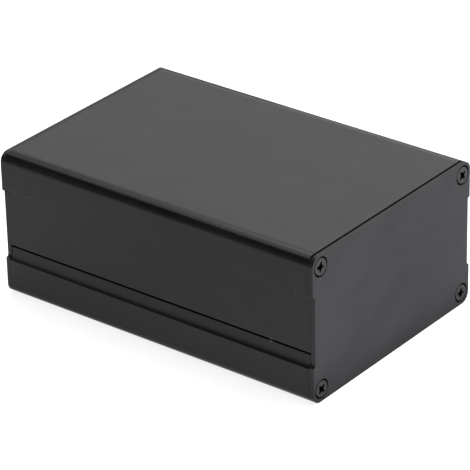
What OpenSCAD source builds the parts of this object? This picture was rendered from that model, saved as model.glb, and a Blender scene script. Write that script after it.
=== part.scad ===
// Split-body aluminium project enclosure.
// Two extruded half shells interlock along the sides. A flat end panel with the outline of the
// section closes each end, held by four countersunk cross-recess screws.
// X runs along the extrusion, Y across it and Z up. The origin is at the middle of the underside.

/* [Section] */
// Width of the section
section_w = 76; // [70:1:110]
// Height of the section
section_h = 46; // [42:1:70]
// Radius of the four long outer edges
corner_r = 3; // [1.5:0.1:3.5]
// Depth of the long recess in each side
recess_d = 0.9; // [0.5:0.1:1]
// Height of the full-width band below the recess
lower_band_h = 11.4; // [9:0.1:12]
// Height of the full-width band above the recess
upper_band_h = 11.7; // [8:0.1:16]
// Radius of the hollow that runs the recess out onto the lower band
run_out_r = 4; // [2:0.1:4.5]
// Radius on the lower edge of the upper band
band_edge_r = 0.4; // [0.1:0.1:0.6]

/* [Shells] */
// Length of the two extruded shells
shell_l = 110; // [50:1:250]
// Thickness of the roof and of the floor
flat_wall = 2; // [1.5:0.1:3]
// Thickness of the side walls at the recess
side_wall = 2; // [1.6:0.1:2.6]
// Radius inside the corners of the shells
inner_r = 1; // [0.5:0.1:1.5]

/* [Side joint] */
// Height of the joint between the shells above the underside
joint_z = 15.8; // [15.2:0.1:18]
// Open gap that shows between the shells outside
joint_gap = 0.5; // [0.2:0.05:0.6]
// Radius on the shell edges along that gap
joint_edge_r = 0.15; // [0.05:0.05:0.2]
// Thickness of the lower shell's lip outside the groove
outer_lip = 1.5; // [1.2:0.1:1.8]
// Thickness of the lower shell's lip inside the groove
inner_lip = 1.1; // [0.9:0.1:1.5]
// Thickness of the upper shell's tongue
tongue_t = 1; // [0.8:0.1:1.2]
// Length of the upper shell's tongue
tongue_l = 1.5; // [1:0.1:1.8]
// Play between the tongue and each wall of its groove
tongue_play = 0.1; // [0.05:0.05:0.2]
// Metal left below the groove
groove_floor = 1.3; // [1:0.1:1.5]
// Height of the upper shell's rail that carries the tongue
rail_h = 2.2; // [1.5:0.1:3]

/* [Board guides] */
// Thickness of the circuit board
board_t = 1.6; // [0.8:0.1:2]
// Play of the board in its slot
board_play = 0.2; // [0.1:0.05:0.4]
// Thickness of a guide rib
rib_t = 1.2; // [0.8:0.1:1.5]
// Distance from one upper board slot to the next
guide_pitch = 7; // [6:0.5:12]

/* [End panels] */
// Thickness of an end panel
panel_t = 1.5; // [1.5:0.1:3]
// How far the bands of a panel reach into the recess past those of the shells
panel_band_extra = 0.45; // [0:0.05:1]
// Radius of the hollow above the lower band of a panel
panel_run_out_r = 1.05; // [1:0.05:1.9]

/* [Screws] */
// Distance of each screw from the two outer faces beside it
screw_inset = 3.8; // [3.6:0.1:4.2]
// Diameter of the screw head
head_d = 5.5; // [5:0.1:5.8]
// Height of the head's cylindrical edge
head_edge = 0.2; // [0.1:0.05:0.3]
// Depth of the head below the face of the panel
head_sink = 0.05; // [0:0.05:0.1]
// Clearance between the head's cone and its seat
head_play = 0.03; // [0.02:0.01:0.08]
// Diameter over the thread
thread_d = 3; // [2.6:0.1:3.2]
// Diameter of the shank at the root of its thread
root_d = 2.4; // [2:0.1:2.6]
// Length of the screw under the top of its head
screw_l = 8; // [6:1:12]
// Length of the screw's tapered tip
tip_l = 0.8; // [0.4:0.1:1.2]
// Clearance of the thread in the panel's hole, across the hole
hole_play = 0.4; // [0.2:0.1:0.6]
// Turn of each front screw's cross recess, in degrees
front_turns = [80, 42, 40, 82]; // [0:1:89]
// Turn of each rear screw's cross recess, in degrees
rear_turns = [27, 4, 61, 35]; // [0:1:89]

/* [Screw channels] */
// Clearance of the screw's root in its channel, across the channel
channel_play = 0.2; // [0.1:0.05:0.4]
// Metal around the channel
channel_wall = 1.6; // [1.2:0.1:1.8]
// Width of the channel's mouth along its whole length
channel_mouth = 1.4; // [0.8:0.1:1.8]
// Depth and width of the countersink at each end of a channel
lead_in = 0.5; // [0.4:0.1:0.8]

/* [Cross recess] */
// Width over two wings of the cross recess
cross_w = 3.3; // [2.8:0.1:3.6]
// Depth of the cross recess
cross_depth = 1.3; // [0.8:0.1:1.5]
// Width of a wing at its root
wing_root = 1.1; // [0.8:0.05:1.2]
// Width of a wing at its tip
wing_tip = 0.7; // [0.3:0.05:0.8]

/* [Hidden] */

$fn = 64;
// Overlap of a cutting shape past the face that it cuts
cut = 0.5;

half_w = section_w / 2;
recess_y = half_w - recess_d;
wall_y = recess_y - side_wall;
recess_top = section_h - upper_band_h;
roof_z = section_h - flat_wall;

groove_w = tongue_t + 2 * tongue_play;
groove_d = tongue_l + tongue_play;
groove_y = recess_y - outer_lip - groove_w;
rail_y = groove_y - inner_lip;

slot_h = board_t + board_play;
lower_slot_z = joint_z - groove_d - groove_floor - slot_h;
upper_slot_z = joint_z + rail_h;

hole_d = thread_d + hole_play;
head_cone_h = (head_d - thread_d) / 2;
seat_r = head_d / 2 + head_edge + head_sink + head_play;
seat_h = seat_r - hole_d / 2;

channel_d = root_d + channel_play;
boss_r = channel_d / 2 + channel_wall;
screw_y = half_w - screw_inset;
screw_top_z = section_h - screw_inset;
upper_slots = 1 + max(0, floor((screw_top_z - boss_r - rib_t - slot_h - upper_slot_z) / guide_pitch));

// The corners of an end as signs across and up: an upper, the lower below it, then the other side
corners = [[-1, 1], [-1, -1], [1, 1], [1, -1]];

shell_color = [0.13, 0.13, 0.14];
panel_color = [0.16, 0.16, 0.17];
screw_color = [0.08, 0.08, 0.09];

// Copies the children to both sides of the section
module both_sides() {
    children();
    mirror([1, 0]) children();
}

// Turns the children, drawn at the front end, round to the rear end unless they belong to the front
module at_end(front) {
    rotate(front ? 0 : 180) children();
}

// Extrudes a section, drawn with its width along x and its height along y, along the enclosure
module extrude_section(length) {
    rotate([90, 0, 90]) linear_extrude(length, center = true) children();
}

// The square corner left outside a round edge, for cutting that edge
module edge_cut(r) {
    difference() {
        translate([-cut, -cut]) square(r + cut);
        translate([r, r]) circle(r);
    }
}

module rounded_block(w, low, high, r) {
    for (side = [-1, 1], z = [low + r, high - r])
        translate([side * (w / 2 - r), z]) circle(r);
    translate([-w / 2 + r, low]) square([w - 2 * r, high - low]);
    translate([-w / 2, low + r]) square([w, high - low - 2 * r]);
}

// The air in one side recess from low to high, with a hollow of radius r at its foot
module side_recess(low, high, r) {
    rise = sqrt(r * r - pow(r - recess_d, 2));
    translate([recess_y, low + rise]) square([recess_d + cut, high - low - rise]);
    translate([recess_y + r, low + rise]) circle(r);
    translate([half_w, high]) mirror([1, 0]) edge_cut(band_edge_r);
}

// The outline of the section, with its bands higher by extra and a hollow of radius r
module outline(extra, r) {
    difference() {
        rounded_block(section_w, 0, section_h, corner_r);
        both_sides() side_recess(lower_band_h + extra, recess_top - extra, r);
    }
}

module cavity() {
    rounded_block(2 * wall_y, flat_wall, roof_z, inner_r);
}

// A screw channel in a corner block, at the origin, with the outer corner toward +x and -y
module channel_block() {
    reach = screw_inset;
    circle(boss_r);
    translate([-boss_r, -reach]) square([boss_r + reach, reach]);
    translate([0, -reach]) square([reach, reach + boss_r]);
}

module channel_bore() {
    circle(d = channel_d);
    rotate(45) translate([-channel_mouth / 2, 0]) square([channel_mouth, boss_r + cut]);
}

module at_lower_channel() {
    translate([screw_y, screw_inset]) children();
}

module at_upper_channel() {
    translate([screw_y, screw_top_z]) mirror([0, 1]) children();
}

// Two ribs that guide a board's edge, with the bottom of their slot at z
module guide(z) {
    for (rib_z = [z - rib_t, z + slot_h])
        translate([rail_y, rib_z]) square([wall_y - rail_y + cut, rib_t]);
}

// The rail on both sides of the joint: it roofs the lowest board slot and floors the next one
module joint_rail() {
    bottom = lower_slot_z + slot_h;
    translate([rail_y, bottom]) square([wall_y - rail_y + cut, upper_slot_z - bottom]);
}

// The open gap that parts the shells on one side, outside the groove
module joint_line() {
    translate([recess_y - outer_lip, joint_z - joint_gap / 2]) square([outer_lip + cut, joint_gap]);
    translate([recess_y, joint_z - joint_gap / 2]) rotate(180) edge_cut(joint_edge_r);
    translate([recess_y, joint_z + joint_gap / 2]) mirror([1, 0]) edge_cut(joint_edge_r);
}

// The section of both shells together, before they are parted
module whole_section() {
    difference() {
        outline(0, run_out_r);
        difference() {
            cavity();
            both_sides() {
                at_lower_channel() channel_block();
                at_upper_channel() channel_block();
                joint_rail();
                guide(lower_slot_z);
                for (i = [0 : upper_slots - 1]) guide(upper_slot_z + i * guide_pitch);
            }
        }
        both_sides() {
            at_lower_channel() channel_bore();
            at_upper_channel() channel_bore();
            joint_line();
        }
    }
}

// All that lies from low to high, right across the section
module layer(low, high) {
    translate([-half_w - cut, low]) square([section_w + 2 * cut, high - low]);
}

module top_section() {
    intersection() {
        whole_section();
        union() {
            layer(joint_z, section_h + cut);
            for (side = [-1, 1]) translate([side * (groove_y + groove_w / 2), joint_z])
                square([tongue_t, 2 * tongue_l], center = true);
        }
    }
}

module bottom_section() {
    difference() {
        intersection() {
            whole_section();
            layer(-cut, joint_z);
        }
        both_sides() translate([groove_y, joint_z - groove_d]) square([groove_w, groove_d + cut]);
    }
}

// The countersink in a shell's end, where a screw enters its channel
module channel_end() {
    translate([0, 0, -panel_t - lead_in])
        cylinder(d1 = channel_d, d2 = channel_d + 2 * (lead_in + cut), h = lead_in + cut);
}

module top_shell() {
    color(shell_color) difference() {
        extrude_section(shell_l) top_section();
        for (front = [true, false], corner = [corners[0], corners[2]])
            at_end(front) at_corner(corner) channel_end();
    }
}

module bottom_shell() {
    color(shell_color) difference() {
        extrude_section(shell_l) bottom_section();
        for (front = [true, false], corner = [corners[1], corners[3]])
            at_end(front) at_corner(corner) channel_end();
    }
}

// Moves a child, drawn with its head at the origin facing +z, to a corner of an end panel's face
module at_corner(corner) {
    side = corner[0];
    z = corner[1] > 0 ? screw_top_z : screw_inset;
    translate([shell_l / 2 + panel_t, side * screw_y, z]) rotate([0, 90, 0]) children();
}

module screw_seat() {
    translate([0, 0, -panel_t - cut]) cylinder(d = hole_d, h = panel_t + 2 * cut);
    translate([0, 0, -seat_h]) cylinder(r1 = hole_d / 2, r2 = seat_r, h = seat_h);
}

module end_panel(front) {
    color(panel_color) at_end(front) difference() {
        translate([(shell_l + panel_t) / 2, 0, 0]) extrude_section(panel_t)
            outline(panel_band_extra, panel_run_out_r);
        for (corner = corners) at_corner(corner) screw_seat();
    }
}

// One wing of the cross recess, narrowing from its root to its tip
module wing() {
    polygon([[0, -wing_root / 2], [wing_root / 2, -wing_root / 2], [cross_w / 2, -wing_tip / 2],
        [cross_w / 2, wing_tip / 2], [wing_root / 2, wing_root / 2], [0, wing_root / 2]]);
}

// The cross recess, cut off by a cone so that its wings shorten with depth
module cross_recess() {
    flare = (cross_w - wing_root) / cross_depth;
    translate([0, 0, -cross_depth]) intersection() {
        linear_extrude(cross_depth + cut) for (angle = [0 : 90 : 270]) rotate(angle) wing();
        cylinder(d1 = wing_root, d2 = cross_w + flare * cut, h = cross_depth + cut);
    }
}

// A countersunk screw turned on its axis, with its head's top at the origin facing +z. Its shank
// has the diameter of the thread's root, because the crests are pressed into the channel's wall.
module screw(turn) {
    head_h = head_edge + head_cone_h;
    root_r = root_d / 2;
    rotate(turn) difference() {
        rotate_extrude() polygon([[0, 0], [head_d / 2, 0], [head_d / 2, -head_edge],
            [thread_d / 2, -head_h], [root_r, -head_h], [root_r, tip_l - screw_l],
            [root_r / 2, -screw_l], [0, -screw_l]]);
        cross_recess();
    }
}

module panel_screw(front, i) {
    turns = front ? front_turns : rear_turns;
    color(screw_color) at_end(front) at_corner(corners[i])
        translate([0, 0, -head_sink]) screw(turns[i]);
}

top_shell();
bottom_shell();
end_panel(true);  // front_panel
end_panel(false);  // rear_panel
for (i = [0 : 3]) {
    panel_screw(true, i);
    panel_screw(false, i);
}
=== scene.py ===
import math

import bpy
from mathutils import Matrix, Vector


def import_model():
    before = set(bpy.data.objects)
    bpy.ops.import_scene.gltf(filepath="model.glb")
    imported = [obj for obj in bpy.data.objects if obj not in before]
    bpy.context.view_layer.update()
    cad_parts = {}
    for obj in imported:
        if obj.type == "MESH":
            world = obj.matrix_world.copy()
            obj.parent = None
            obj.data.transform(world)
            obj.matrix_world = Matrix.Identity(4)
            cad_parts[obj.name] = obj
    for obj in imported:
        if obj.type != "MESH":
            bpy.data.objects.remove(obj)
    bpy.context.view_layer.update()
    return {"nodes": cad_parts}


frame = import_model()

MM = 0.001

# The enclosure's sizes in millimetres, as in part.scad
HALF_W = 38.0
SHELL_HALF_L = 55.0
PANEL_FACE = 56.5
MIDDLE_Z = 23.0
ROOF_Z = 46.0
JOINT_Z = 15.8
LEDGE_Z = 11.4
SCREW_Y = 34.2
SCREW_Z = 19.2

# Where the flat roof ends and its round edges start, and how wide a strip rolls off before that
FLAT_HALF_W = 35.0
ROLL_W = 1.4

# The painted shade round a screw's head and in its recess lies a little off its middle, across and up
RING_OFFSET = (-0.11, 0.2)
RECESS_OFFSET = (-0.32, 0.16)

# Bare specks: place, radius that is fully bare, and radius where the speck ends
SIDE_SPECKS = [((54.4, -37.4, 34.1), 0.1, 0.6), ((50.0, -37.1, 33.35), 0.1, 0.5)]
JOINT_SPECK = ((41.2, -37.1, JOINT_Z), 0.5, 0.8)
PANEL_SPECK = ((PANEL_FACE, -34.4, 38.5), 0.1, 0.45)
SCREW_SPECK = ((PANEL_FACE, -32.5, 2.2), 0.2, 0.7)

# How wide the sharp edges of each kind of piece are broken
EDGE_WIDTHS = {"screw": 0.07, "panel": 0.06, "shell": 0.06}
WELD_REACH = 0.002

# Edges that turn by more than SHARP are broken, and faces within FLAT are one face, in degrees
SHARP = 35
FLAT = 0.5

# The photograph's camera: place and aim in metres, roll in degrees, lens and sensor in millimetres
CAMERA_PLACE = Vector((0.50216, -0.63138, 0.44236))
CAMERA_AIM = Vector((0.00054, -0.00100, 0.02087))
CAMERA_ROLL = -1.33
CAMERA_LENS = 238.46
CAMERA_SENSOR = 36

# Directions on the floor: away from the camera, and across from the near left to the far right
AWAY = -Vector((CAMERA_PLACE.x, CAMERA_PLACE.y, 0)).normalized()
ACROSS = Vector((-AWAY.x, AWAY.y, 0))

# The one lamp, in metres and watts
LAMP_PLACE = Vector((0.2, 0.5, 1.4))
LAMP_AIM = Vector((0, 0, 0.02))
LAMP_SIZE = (1.6, 1.0)
LAMP_POWER = 16

# How far the floor reaches from the middle, in metres
FLOOR_REACH = 6.0


class Sock:
    """A node socket that takes part in arithmetic, adding a Math node for each step."""

    def __init__(self, net, socket):
        self.net = net
        self.socket = socket

    def math(self, operation, *values):
        return self.net.add("ShaderNodeMath", {"operation": operation}, dict(enumerate(values)))

    def __add__(self, other):
        return self.math("ADD", self, other)

    def __sub__(self, other):
        return self.math("SUBTRACT", self, other)

    def __rsub__(self, other):
        return self.math("SUBTRACT", other, self)

    def __mul__(self, other):
        return self.math("MULTIPLY", self, other)

    def __truediv__(self, other):
        return self.math("DIVIDE", self, other)

    def __rtruediv__(self, other):
        return self.math("DIVIDE", other, self)

    def __pow__(self, other):
        return self.math("POWER", self, other)

    def __abs__(self):
        return self.math("ABSOLUTE", self)

    __radd__ = __add__
    __rmul__ = __mul__

    def at_most(self, other):
        return self.math("MINIMUM", self, other)

    def at_least(self, other):
        return self.math("MAXIMUM", self, other)

    def rise(self, low, high, kind="SMOOTHSTEP"):
        """0 up to low, 1 from high on."""
        inputs = {"Value": self, "From Min": low, "From Max": high, "To Min": 0.0, "To Max": 1.0}
        return self.net.add("ShaderNodeMapRange", {"interpolation_type": kind}, inputs, "Result")


class Net:
    """The node tree of one material or of the world."""

    def __init__(self, tree):
        self.tree = tree
        tree.nodes.clear()

    def add(self, kind, settings=None, inputs=None, output=0):
        node = self.tree.nodes.new(kind)
        for name, value in (settings or {}).items():
            setattr(node, name, value)
        for name, value in (inputs or {}).items():
            if isinstance(value, Sock):
                self.tree.links.new(value.socket, node.inputs[name])
            else:
                node.inputs[name].default_value = value
        return None if output is None else Sock(self, node.outputs[output])

    def vector(self, operation, first, second, output=0):
        inputs = {0: first, 1: second}
        return self.add("ShaderNodeVectorMath", {"operation": operation}, inputs, output)

    def place(self, scale=(1, 1, 1), offset=(0, 0, 0)):
        """The point being shaded, in millimetres, stretched by scale and then moved by offset."""
        spot = self.add("ShaderNodeTexCoord", output="Object")
        return self.vector("ADD", self.vector("MULTIPLY", spot, [s / MM for s in scale]), offset)

    def split(self, vector):
        node = self.add("ShaderNodeSeparateXYZ", None, {0: vector}).socket.node
        return [Sock(self, out) for out in node.outputs]

    def noise(self, place, scale, detail=2.0, rough=0.5):
        inputs = {"Vector": place, "Scale": scale, "Detail": detail, "Roughness": rough}
        return self.add("ShaderNodeTexNoise", None, inputs, "Fac")

    def spot(self, place, centre, inner, outer):
        """1 within inner millimetres of centre, 0 beyond outer."""
        return 1 - self.vector("DISTANCE", place, centre, "Value").rise(inner, outer)

    def mix(self, factor, first, second):
        """The colour first where factor is 0 and second where it is 1."""
        return self.add("ShaderNodeMix", {"data_type": "RGBA"}, {0: factor, 6: first, 7: second}, 2)

    def layer(self, factor, first, second):
        """The shader first where factor is 0 and second where it is 1."""
        return self.add("ShaderNodeMixShader", None, {0: factor, 1: first, 2: second})

    def bump(self, height):
        """The normal of a surface with this height in millimetres."""
        return self.add("ShaderNodeBump", None, {"Height": height, "Strength": 1.0, "Distance": MM})

    def matte(self, colour):
        return self.add("ShaderNodeBsdfDiffuse", None, {"Color": colour}, "BSDF")

    def glow(self, colour):
        return self.add("ShaderNodeEmission", None, {"Color": colour, "Strength": 1.0})

    def ray(self, kind):
        """1 for rays of this kind, 0 for others."""
        return self.add("ShaderNodeLightPath", output=kind)

    def finish(self, shader, kind="ShaderNodeOutputMaterial"):
        self.add(kind, None, {"Surface": shader}, None)


def material(name):
    made = bpy.data.materials.new(name)
    made.use_nodes = True
    return made, Net(made.node_tree)


def grey(level, tint=1.04):
    """A grey with a slight lean to blue, as the anodising has."""
    return (level, level * 0.99, level * tint, 1.0)


def grain(net, scale, seed):
    """The fine even texture that bead blasting leaves, from 0 to 1."""
    return net.noise(net.place(offset=seed), scale, 3.0, 0.65)


def patches(net, seed):
    """Broad uneven patches of the black dye, from 0 to 1."""
    return net.noise(net.place(offset=seed), 0.045, 2.0, 0.55)


def rim_height(x, side):
    """Roof and floor roll off just before their rims and level out again into the round edges,
    which lean out a little more toward the rear end."""
    roll = ((side - (FLAT_HALF_W - ROLL_W)) / ROLL_W).at_least(0).at_most(1)
    beyond = (side - FLAT_HALF_W).at_least(0)
    level_out = x * -0.009 + 0.62
    slope = x * -0.001 + 0.26
    after = (beyond / level_out).at_most(1)
    drop = (roll * roll * (ROLL_W / 2) + (after - after * after * 0.5) * level_out) * slope
    return beyond * x * 0.0022 - drop


def roof_edge(z):
    """1 on top of the roof, 0 a millimetre below it."""
    return z.rise(ROOF_Z - 1.0, ROOF_Z - 0.2)


def shell_skin():
    """Black anodised extrusion: fine grain, faint draw lines along it, softened rims and cut ends."""
    made, net = material("black_anodised_shell")
    here = net.place()
    x, y, z = net.split(here)
    side = abs(y)
    fine = grain(net, 2.6, (11, 0, 0))
    uneven = patches(net, (11, 0, 0))
    drawn = net.noise(net.place((0.012, 1, 1)), 1.6, 3.0, 0.6)

    # The hollow above the lower ledge starts gently, and painted shade darkens its foot
    hump = (1 - ((z - 13.5) / 2.0) ** 2).at_least(0)
    hump = hump * hump * side.rise(36.5, 37.0) * 0.16
    foot_shade = z.rise(LEDGE_Z - 0.4, LEDGE_Z + 0.2) * (1 - z.rise(13.2, 14.4))
    height = rim_height(x, side) + hump + fine * 0.0025 + drawn * 0.0012

    blotches = net.noise(net.place((0.6, 1, 1), (4, 0, 9)), 0.11, 3.0, 0.6)
    shade = (fine * 0.3 + uneven * 0.25 + blotches * 0.35 + drawn * 0.1).rise(0.36, 0.64)
    specks = net.spot(here, *SIDE_SPECKS[0]) + net.spot(here, *SIDE_SPECKS[1])
    colour = net.mix(shade, grey(0.005), grey(0.015))
    # Painted shade in the crease at the hollow's foot
    colour = net.mix(foot_shade, colour, grey(0.005))
    colour = net.mix(specks * 0.5, colour, grey(0.14))
    colour = net.mix(net.spot(here, *JOINT_SPECK), colour, grey(0.2))

    # Handling has rubbed the upper part of the round edges smoother
    rubbed = side.rise(33.8, FLAT_HALF_W) * abs(z - MIDDLE_Z).rise(20.8, 21.8)
    rough = 0.335 - rubbed * 0.16 + (uneven - 0.5) * 0.05 + (fine - 0.5) * 0.09
    skin = net.add("ShaderNodeBsdfPrincipled", None, {
        "Base Color": colour, "Roughness": rough, "IOR": 1.5, "Normal": net.bump(height)})

    # Painted shade darkens the seam at the front panel along the roof, and the one at the rear panel at
    # the joint
    front = x.rise(SHELL_HALF_L - 0.5, SHELL_HALF_L - 0.35) * (roof_edge(z) * 0.85 + 0.1)
    rear = (x * -1).rise(SHELL_HALF_L - 0.4, SHELL_HALF_L - 0.25)
    by_joint = z.rise(LEDGE_Z - 0.4, LEDGE_Z + 0.6) * (1 - z.rise(JOINT_Z - 0.2, JOINT_Z + 0.2))
    seam_shade = front.at_least(rear * by_joint * 0.9)
    net.finish(net.layer(seam_shade, skin, net.matte(grey(0.003))))
    return made


def from_screw(y, z, offset):
    """How far a point of a panel lies across and up from a spot beside its nearest screw's middle,
    and its distance from that spot."""
    right, above = offset
    across = y - (y / abs(y)) * SCREW_Y - right
    up = z - MIDDLE_Z
    up = up - (up / abs(up)) * SCREW_Z - above
    return across, up, (across * across + up * up) ** 0.5


def ring_of_shade(y, z):
    """For the painted shade between a screw's head and its countersink: the distance from the ring's
    middle, how far up to the right or down to the left a point lies, from -0.5 to 0.5, and how thick
    the painted shade is there."""
    across, up, near = from_screw(y, z, RING_OFFSET)
    slant = across * up / (near * near)
    return near, slant, slant.rise(-0.4, 0.2) * 0.5 + 0.45


def panel_skin():
    """Black anodised sheet: a little coarser, with the brush of handling across its face."""
    made, net = material("black_anodised_panel")
    here = net.place()
    x, y, z = net.split(here)
    fine = grain(net, 3.1, (0, 7, 3))
    uneven = patches(net, (0, 7, 3))
    drift = net.noise(net.place((1, 0.10, 0.28), (0, 3, 9)), 0.9, 2.0, 0.5)

    # Smears from handling rise across the face, and the face is palest low at the near side and darkest
    # in a band beside that
    pale = net.spot(here, (PANEL_FACE, -30, 16), 2, 12)
    streak = 1 - abs(z - y * 0.27 - 16.0).rise(1, 8)
    streak = streak * y.rise(-27, -14) * (1 - y.rise(18, 36))
    along = y * 0.9 + z * 0.45
    over = z * 0.9 - y * 0.45
    smeared = net.add("ShaderNodeCombineXYZ", None, {0: along * 0.035, 1: over * 0.085, 2: x * 0.1})
    smear = (net.noise(smeared, 1.0, 3.0, 0.55) + pale * 0.14 - streak * 0.16).rise(0.28, 0.72)

    shade = smear * 0.55 + (fine * 0.5 + uneven * 0.35 + drift * 0.15).rise(0.3, 0.7) * 0.45
    colour = net.mix(shade, grey(0.001), grey(0.030))
    colour = net.mix(net.spot(here, *PANEL_SPECK), colour, grey(0.10))
    rough = 0.35 + (uneven - 0.5) * 0.05 + (fine - 0.5) * 0.09
    skin = net.add("ShaderNodeBsdfPrincipled", None, {
        "Base Color": colour, "Roughness": rough, "IOR": 1.5, "Normal": net.bump(fine * 0.003)})

    # Painted shade darkens the countersinks and the open gap along the roof, and the panel's top edge
    # is dulled
    near, _, thick = ring_of_shade(y, z)
    ring = (1 - near.rise(2.95, 3.1)) * thick
    lip = 1 - x.rise(SHELL_HALF_L + 0.3, SHELL_HALF_L + 0.45)
    seam_shade = x.rise(0, 1) * lip * (roof_edge(z) * 0.9 + 0.05)
    dull = roof_edge(z) * (1 - abs(x).rise(PANEL_FACE - 0.12, PANEL_FACE - 0.04)) * 0.2
    net.finish(net.layer(ring.at_least(seam_shade).at_least(dull), skin, net.matte(grey(0.003))))
    return made


def screw_skin():
    """Black plated steel, brighter where the plating has rubbed and with a painted highlight round the
    head's edge, with a cross recess darkened by painted shade.
    """
    made, net = material("black_plated_screw")
    here = net.place()
    x, y, z = net.split(here)
    fine = grain(net, 4.5, (5, 5, 5))

    # Painted shade fills the recess and the ring round the head
    near, slant, thick = ring_of_shade(y, z)
    ring = (near + slant * 0.3).rise(2.5, 2.65) * thick
    sunk = 1 - abs(x).rise(PANEL_FACE - 0.6, PANEL_FACE - 0.12)
    core = from_screw(y, z, RECESS_OFFSET)[2]
    recess = sunk.at_least(1 - core.rise(0.7, 1.0)) * 0.95

    # Rubbed plating and a painted highlight brighten the head's outer part
    wear_and_sheen = near.rise(1.7, 2.3) * fine.rise(0.35, 0.6) * (1 - ring)
    wear_and_sheen = wear_and_sheen.at_least(net.spot(here, *SCREW_SPECK))
    rough = 0.30 + (fine - 0.5) * 0.12
    skin = net.add("ShaderNodeBsdfPrincipled", None, {
        "Base Color": net.mix(wear_and_sheen, grey(0.010), grey(0.05)), "Roughness": rough, "IOR": 1.6,
        "Metallic": wear_and_sheen * 0.6, "Normal": net.bump(fine * 0.004)})
    net.finish(net.layer(recess.at_least(ring), skin, net.matte(grey(0.0025))))
    return made


def dress(node, skin, edge_width):
    """Gives a CAD node its finish and breaks its sharp edges, first joining its loose faces."""
    piece = frame["nodes"][node]
    piece.data.materials.clear()
    piece.data.materials.append(skin)
    joined = piece.modifiers.new("Joined", "WELD")
    joined.merge_threshold = WELD_REACH * MM
    flat = piece.modifiers.new("Faces", "DECIMATE")
    flat.decimate_type = "DISSOLVE"
    flat.angle_limit = math.radians(FLAT)
    edge = piece.modifiers.new("Edges", "BEVEL")
    edge.width = edge_width * MM
    edge.segments = 2
    edge.limit_method = "ANGLE"
    edge.angle_limit = math.radians(SHARP)
    shading = piece.modifiers.new("Shading", "WEIGHTED_NORMAL")
    shading.keep_sharp = False


def put(name, data, place, aim, roll=0.0):
    """Puts a camera or lamp at a place, looking at aim."""
    holder = bpy.data.objects.new(name, data)
    turn = (aim - place).to_track_quat("-Z", "Y").to_matrix().to_4x4()
    tilt = Matrix.Rotation(math.radians(roll), 4, "Z")
    holder.matrix_world = Matrix.Translation(place) @ turn @ tilt
    bpy.context.collection.objects.link(holder)
    return holder


def camera():
    lens = bpy.data.cameras.new("Camera")
    lens.lens = CAMERA_LENS
    lens.sensor_width = CAMERA_SENSOR
    lens.clip_end = 20
    bpy.context.scene.camera = put("Camera", lens, CAMERA_PLACE, CAMERA_AIM, CAMERA_ROLL)


def lamp():
    light = bpy.data.lights.new("Overhead", "AREA")
    light.shape = "RECTANGLE"
    light.size, light.size_y = LAMP_SIZE
    light.energy = LAMP_POWER
    put("Overhead", light, LAMP_PLACE, LAMP_AIM)


def floor():
    """A pale floor. In the black finish it mirrors as a painted glow, dimmer toward the near left and
    with a painted shadow close to the enclosure.
    """
    mesh = bpy.data.meshes.new("floor")
    reach = FLOOR_REACH
    corners = [(-reach, -reach, 0), (reach, -reach, 0), (reach, reach, 0), (-reach, reach, 0)]
    mesh.from_pydata(corners, [], [(0, 1, 2, 3)])
    made, net = material("pale_floor")
    spot = net.add("ShaderNodeTexCoord", output="Object")
    x, y = net.split(spot)[:2]

    # Painted shadow: close to the enclosure the floor's mirrored glow is dimmed, less so before the
    # front panel
    out = (abs(x) - PANEL_FACE * MM).at_least(0) + (abs(y) - HALF_W * MM).at_least(0)
    front = x.rise(PANEL_FACE * MM, PANEL_FACE * MM + 0.012)
    contact = 1 - (0.5 - front * 0.15) / (out / (front * 0.010 + 0.020) + 1)

    # How brightly the finish mirrors the floor's painted glow, from 0 to 1
    across = net.vector("DOT_PRODUCT", spot, ACROSS, "Value")
    beyond = net.vector("DOT_PRODUCT", spot, AWAY, "Value")
    fade = 1 / (((across * -1).at_least(0) / 0.3) ** 2 + (beyond.at_least(0) / 0.4) ** 2 + 1)
    left = (x * -1).rise(0.02, 0.09) * 0.2 + 1
    right = (1 - y.rise(-0.02, 0.08)) * front * 0.13 + 1
    level = fade * contact * left * right * (across.rise(-0.1, 0.06) * 0.215 + 0.605)

    black = net.glow(grey(0.0))
    seen = net.layer(net.ray("Is Camera Ray"), black, net.glow(grey(0.85, 1.0)))
    lit = net.add("ShaderNodeAddShader", None, {0: net.matte(grey(0.8, 1.0)), 1: seen})
    # Glossy rays see the floor as this painted glow, not as the lit floor
    mirrored = net.layer(level, black, net.glow(grey(1.35, 1.05)))
    net.finish(net.layer(net.ray("Is Glossy Ray"), lit, mirrored))
    mesh.materials.append(made)
    ground = bpy.data.objects.new("floor", mesh)
    bpy.context.collection.objects.link(ground)


def world():
    """A pale backdrop behind the object, and a dim room above and in front of it, paler low down."""
    sky = bpy.data.worlds.new("Studio")
    bpy.context.scene.world = sky
    sky.use_nodes = True
    net = Net(sky.node_tree)
    ways = net.add("ShaderNodeTexCoord", output="Generated")
    x, _, z = net.split(ways)
    facing = net.vector("DOT_PRODUCT", ways, AWAY, "Value")
    backdrop = facing.rise(0.19, 0.26) * 0.85 + facing.rise(0.6, 0.88) * 0.15
    lean = (x.rise(-0.8, -0.3) * 0.4 + 0.8) * (z.rise(-0.05, 0.45) * 0.5 + 0.5)
    low = (1 - facing.rise(-0.1, 0.1)) * (1 - z.rise(-0.1, 0.65, "LINEAR")) * 0.2
    level = (backdrop * lean * 0.94 + low + 0.05).at_least(net.ray("Is Camera Ray"))
    inputs = {"Color": grey(1.0, 1.01), "Strength": level}
    net.finish(net.add("ShaderNodeBackground", None, inputs), "ShaderNodeOutputWorld")


SKINS = {"screw": screw_skin(), "panel": panel_skin(), "shell": shell_skin()}
for node in frame["nodes"]:
    kind = next(kind for kind in SKINS if kind in node)
    dress(node, SKINS[kind], EDGE_WIDTHS[kind])

floor()
world()
camera()
lamp()

bpy.context.scene.view_settings.view_transform = "Standard"
